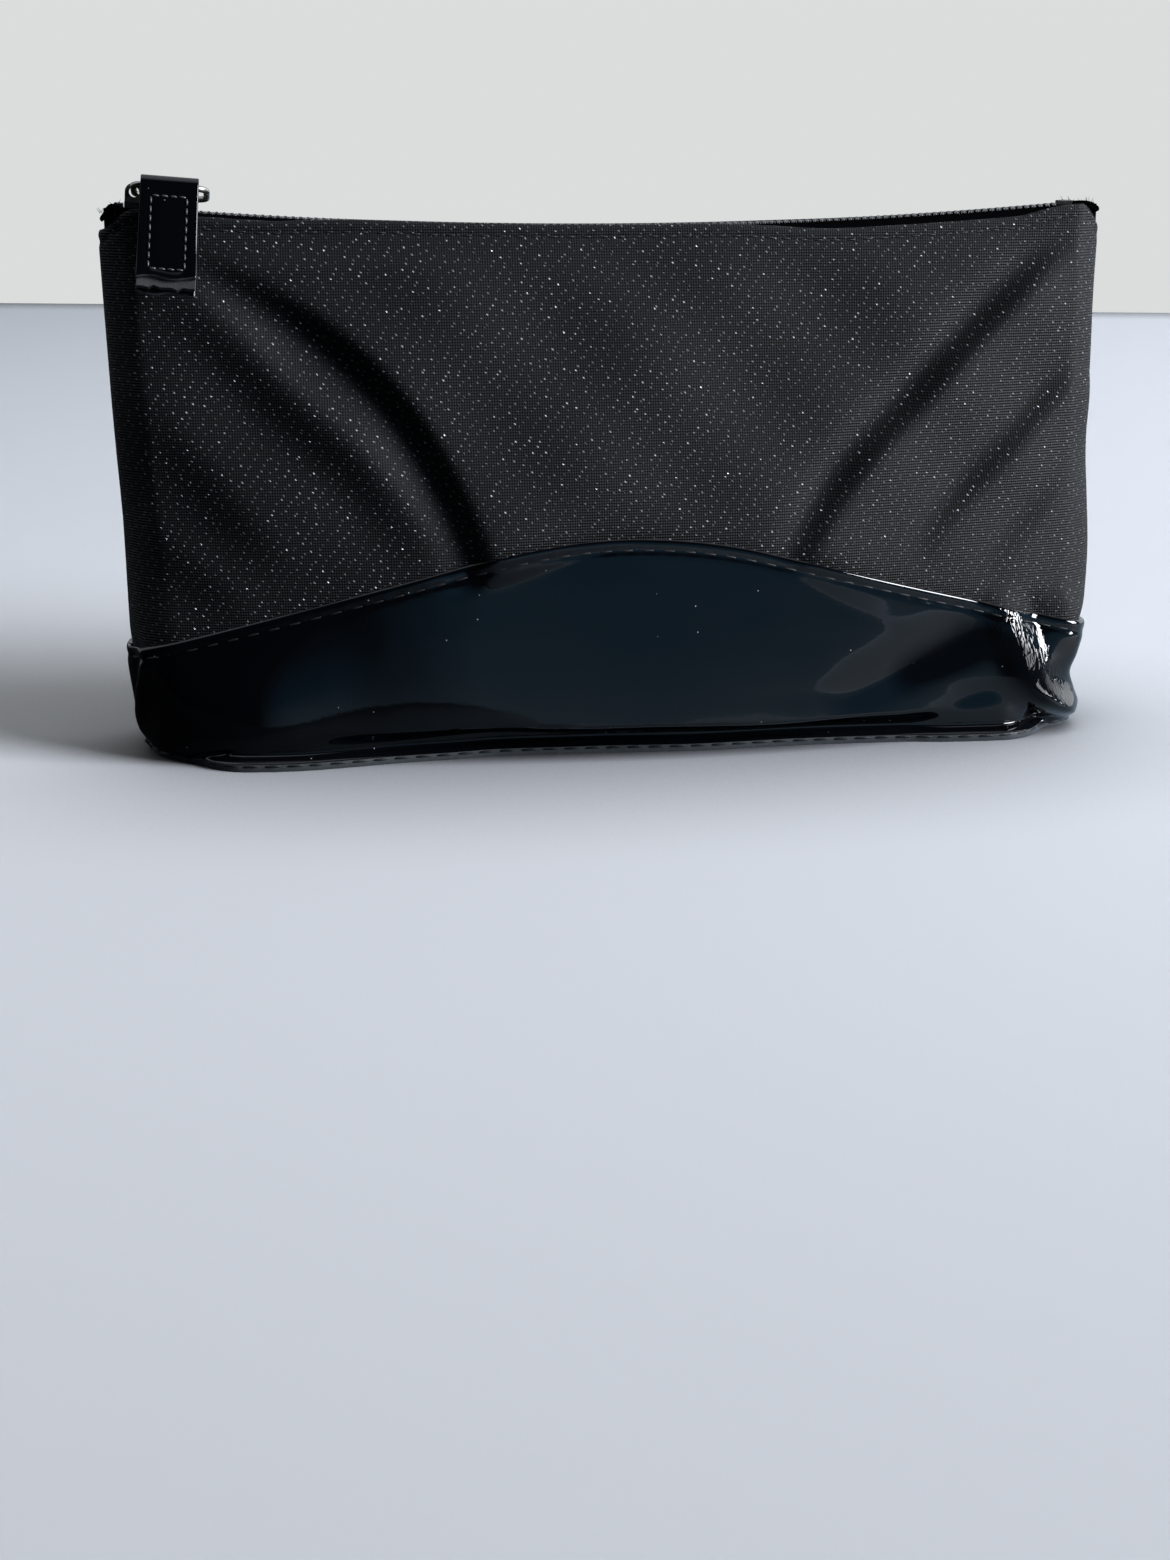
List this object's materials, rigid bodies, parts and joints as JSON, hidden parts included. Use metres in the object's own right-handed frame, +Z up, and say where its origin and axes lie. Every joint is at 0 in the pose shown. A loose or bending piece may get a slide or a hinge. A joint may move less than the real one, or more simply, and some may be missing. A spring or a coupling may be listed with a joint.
{
  "type": "zipped makeup bag",
  "caption": "Small zipped makeup bag with a glitter cloth top, an arched patent lower panel and a flat base; a leather tab pulls the zip.",
  "frame": {"origin": "middle of the underside of the base", "axes": "+X along the bag from its closed zip end, -Y towards the front, +Z up"},
  "size_m": [0.2054, 0.05, 0.1156],
  "materials": {
    "glitter_cloth": "fine ribbed black cloth with small silver glitter dots",
    "patent": "high-gloss black patent",
    "felt": "needled grey felt",
    "lining": "plain woven satin",
    "thread": "twisted polyester thread",
    "zip_tape": "woven polyester tape",
    "zip_coil": "glossy black nylon coil",
    "zip_metal": "polished gunmetal plating",
    "ring_metal": "polished nickel plating"
  },
  "bodies": {
    "bag": {"front_upper_panel": "glitter_cloth", "front_patent_panel": "patent", "front_interlining": "felt", "front_lining": "lining", "back_upper_panel": "glitter_cloth", "back_patent_panel": "patent", "back_interlining": "felt", "back_lining": "lining", "base_panel": "patent", "base_interlining": "felt", "base_lining": "lining", "front_edge_stitching": "thread", "front_seam_stitching": "thread", "back_edge_stitching": "thread", "back_seam_stitching": "thread", "base_stitching": "thread", "zip_tape_front": "zip_tape", "zip_coil_front": "zip_coil", "zip_tape_back": "zip_tape", "zip_coil_back": "zip_coil", "zip_top_stops": "zip_metal", "zip_bottom_stop": "zip_metal", "zip_end_fold_left": "zip_tape", "zip_end_fold_right": "zip_tape"},
    "slider": {"slider_body": "zip_metal", "slider_crown": "zip_metal"},
    "ring": {"pull_ring": "ring_metal"},
    "tab": {"pull_tab_strap": "patent", "pull_tab_filler": "felt", "pull_tab_stitching": "thread"}
  },
  "joints": [
    {"name": "slider_travel", "type": "hinge", "parent": "bag", "child": "slider", "pos_m": [0, 0, 1.24948], "axis": [0, -1, 0], "range_deg": [0, 9.08]},
    {"name": "ring_swing", "type": "hinge", "parent": "slider", "child": "ring", "pos_m": [-0.09531, 0, 0.11208], "axis": [0, -1, 0], "range_deg": [0, 150]},
    {"name": "tab_swing", "type": "hinge", "parent": "ring", "child": "tab", "pos_m": [-0.08819, -0.00841, 0.1133], "axis": [-0.9967, 0, 0.0807], "range_deg": [0, 90]}
  ]
}
